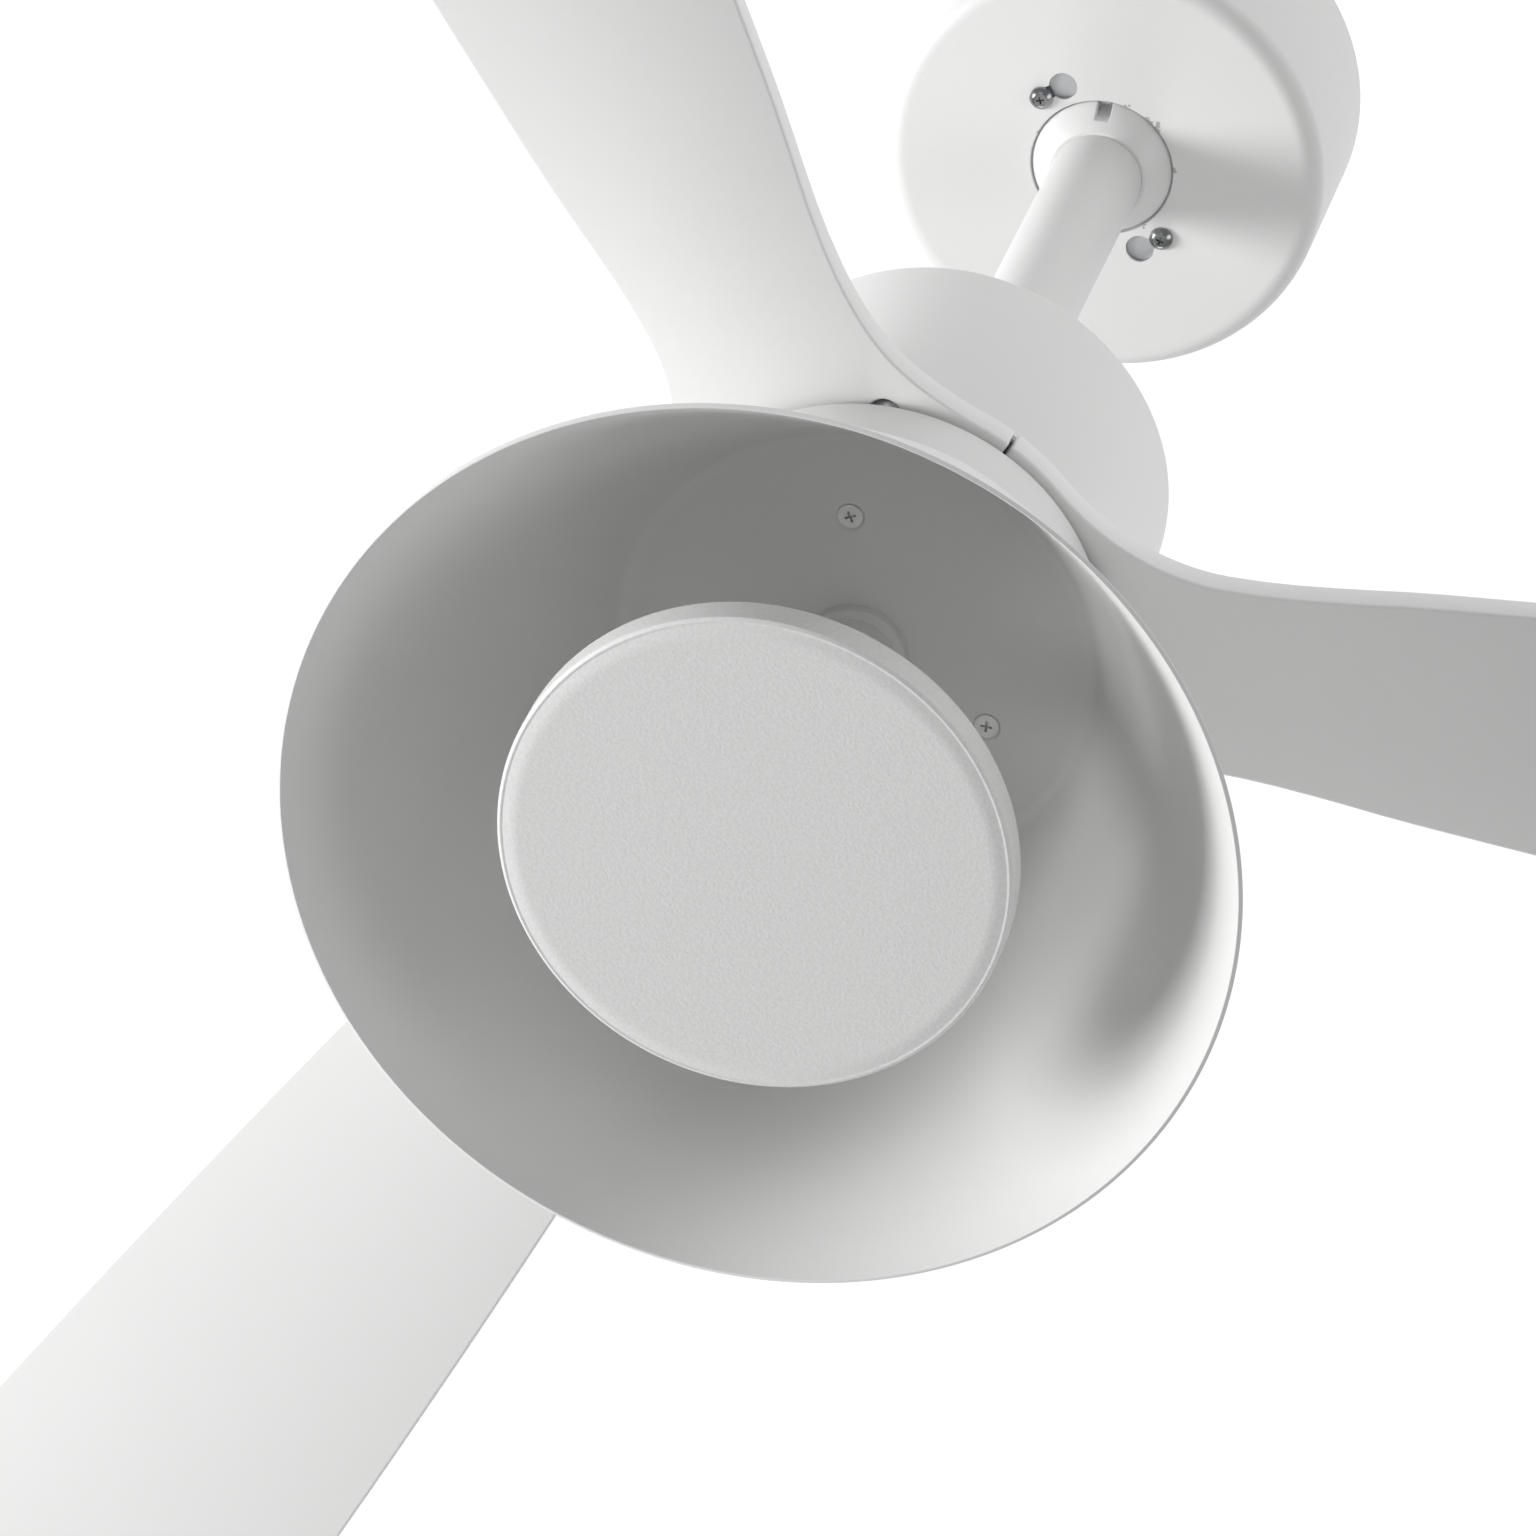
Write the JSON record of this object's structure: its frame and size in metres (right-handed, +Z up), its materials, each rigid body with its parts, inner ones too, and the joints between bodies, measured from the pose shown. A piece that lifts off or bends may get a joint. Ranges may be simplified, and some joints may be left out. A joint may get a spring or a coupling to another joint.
{
  "type": "ceiling fan with light",
  "caption": "White ceiling fan on a rod, with a motor drum, slim paddle blades, and a conical light bowl with a hidden upward light behind a round disc.",
  "frame": {"origin": "on the fan axis, in the plane of the ceiling, midway between the bar's two fixing slots", "axes": "+Z up into the ceiling, X along the ceiling bar from slot to slot"},
  "size_m": [1.1466, 1.1388, 0.559],
  "materials": {
    "ceiling_bracket": "zinc-plated pressed steel",
    "canopy_screws": "bright zinc-plated screws",
    "receiver_box": "moulded plastic",
    "terminal_block": "moulded plastic",
    "canopy": "white satin powder coat",
    "hanger_ball": "white satin paint on a die casting",
    "ball_pin": "plain steel",
    "downrod": "white satin powder coat",
    "rod_coupling": "plain machined steel",
    "coupling_pin": "plain steel",
    "grub_screws": "black oxide",
    "coupling_cover": "white satin paint",
    "motor_shaft": "ground steel",
    "bearing_inner_rings": "ground bearing steel",
    "bearing_outer_rings": "ground bearing steel",
    "bearing_cages": "polished balls and pressed cage",
    "stator_core": "stacked laminations",
    "stator_windings": "enamelled copper wire",
    "magnets": "ferrite",
    "rotor_yoke": "turned steel ring",
    "upper_shield": "die-cast aluminium",
    "lower_shield": "die-cast aluminium",
    "motor_housing": "white satin powder coat",
    "housing_screws": "zinc-plated screws",
    "blade_1": "white satin moulded plastic",
    "blade_2": "white satin moulded plastic",
    "blade_3": "white satin moulded plastic",
    "blade_screws": "zinc-plated screws",
    "light_base": "white satin powder coat",
    "base_nut": "zinc-plated nut",
    "led_driver": "moulded plastic",
    "shade": "white satin powder coat inside and out",
    "shade_screws": "white-painted countersunk screws",
    "light_stem": "white satin powder coat",
    "stem_nut": "zinc-plated nut",
    "disc_cup": "fine-textured white powder coat",
    "disc_screws": "zinc-plated screws",
    "led_board": "white solder mask on aluminium",
    "led_chips": "phosphor-coated packages",
    "light_diffuser": "opal acrylic"
  },
  "bodies": {
    "ceiling_mount": {"ceiling_bracket": "ceiling_bracket", "canopy_screws": "canopy_screws", "receiver_box": "receiver_box", "terminal_block": "terminal_block"},
    "canopy_cup": {"canopy": "canopy"},
    "hanger": {"hanger_ball": "hanger_ball", "ball_pin": "ball_pin", "downrod": "downrod", "rod_coupling": "rod_coupling", "coupling_pin": "coupling_pin", "grub_screws": "grub_screws", "coupling_cover": "coupling_cover", "motor_shaft": "motor_shaft", "bearing_inner_rings": "bearing_inner_rings", "stator_core": "stator_core", "stator_windings": "stator_windings", "light_base": "light_base", "base_nut": "base_nut", "led_driver": "led_driver", "shade": "shade", "shade_screws": "shade_screws", "light_stem": "light_stem", "stem_nut": "stem_nut", "disc_cup": "disc_cup", "disc_screws": "disc_screws", "led_board": "led_board", "led_chips": "led_chips", "light_diffuser": "light_diffuser"},
    "rotor": {"bearing_outer_rings": "bearing_outer_rings", "motor_housing": "motor_housing", "upper_shield": "upper_shield", "housing_screws": "housing_screws", "lower_shield": "lower_shield", "rotor_yoke": "rotor_yoke", "magnets": "magnets", "blade_1": "blade_1", "blade_2": "blade_2", "blade_3": "blade_3", "blade_screws": "blade_screws"},
    "bearing_balls": {"bearing_cages": "bearing_cages"}
  },
  "joints": [
    {"name": "canopy_twist", "type": "hinge", "parent": "ceiling_mount", "child": "canopy_cup", "pos_m": [0, 0, -0.0715], "axis": [0, 0, 1], "range_deg": [-16, 0]},
    {"name": "hanger_swing", "type": "hinge", "parent": "ceiling_mount", "child": "hanger", "pos_m": [0, 0, -0.058], "axis": [0.6871, -0.7266, 0], "range_deg": [-8, 8]},
    {"name": "rotor_spin", "type": "hinge", "parent": "hanger", "child": "rotor", "pos_m": [0, 0, -0.38], "axis": [0, 0, 1], "continuous": true},
    {"name": "bearing_roll", "type": "hinge", "parent": "hanger", "child": "bearing_balls", "pos_m": [0, 0, -0.38], "axis": [0, 0, 1], "continuous": true}
  ],
  "couplings": [
    {"joint": "bearing_roll", "follows": "rotor_spin", "ratio": 0.4053}
  ]
}
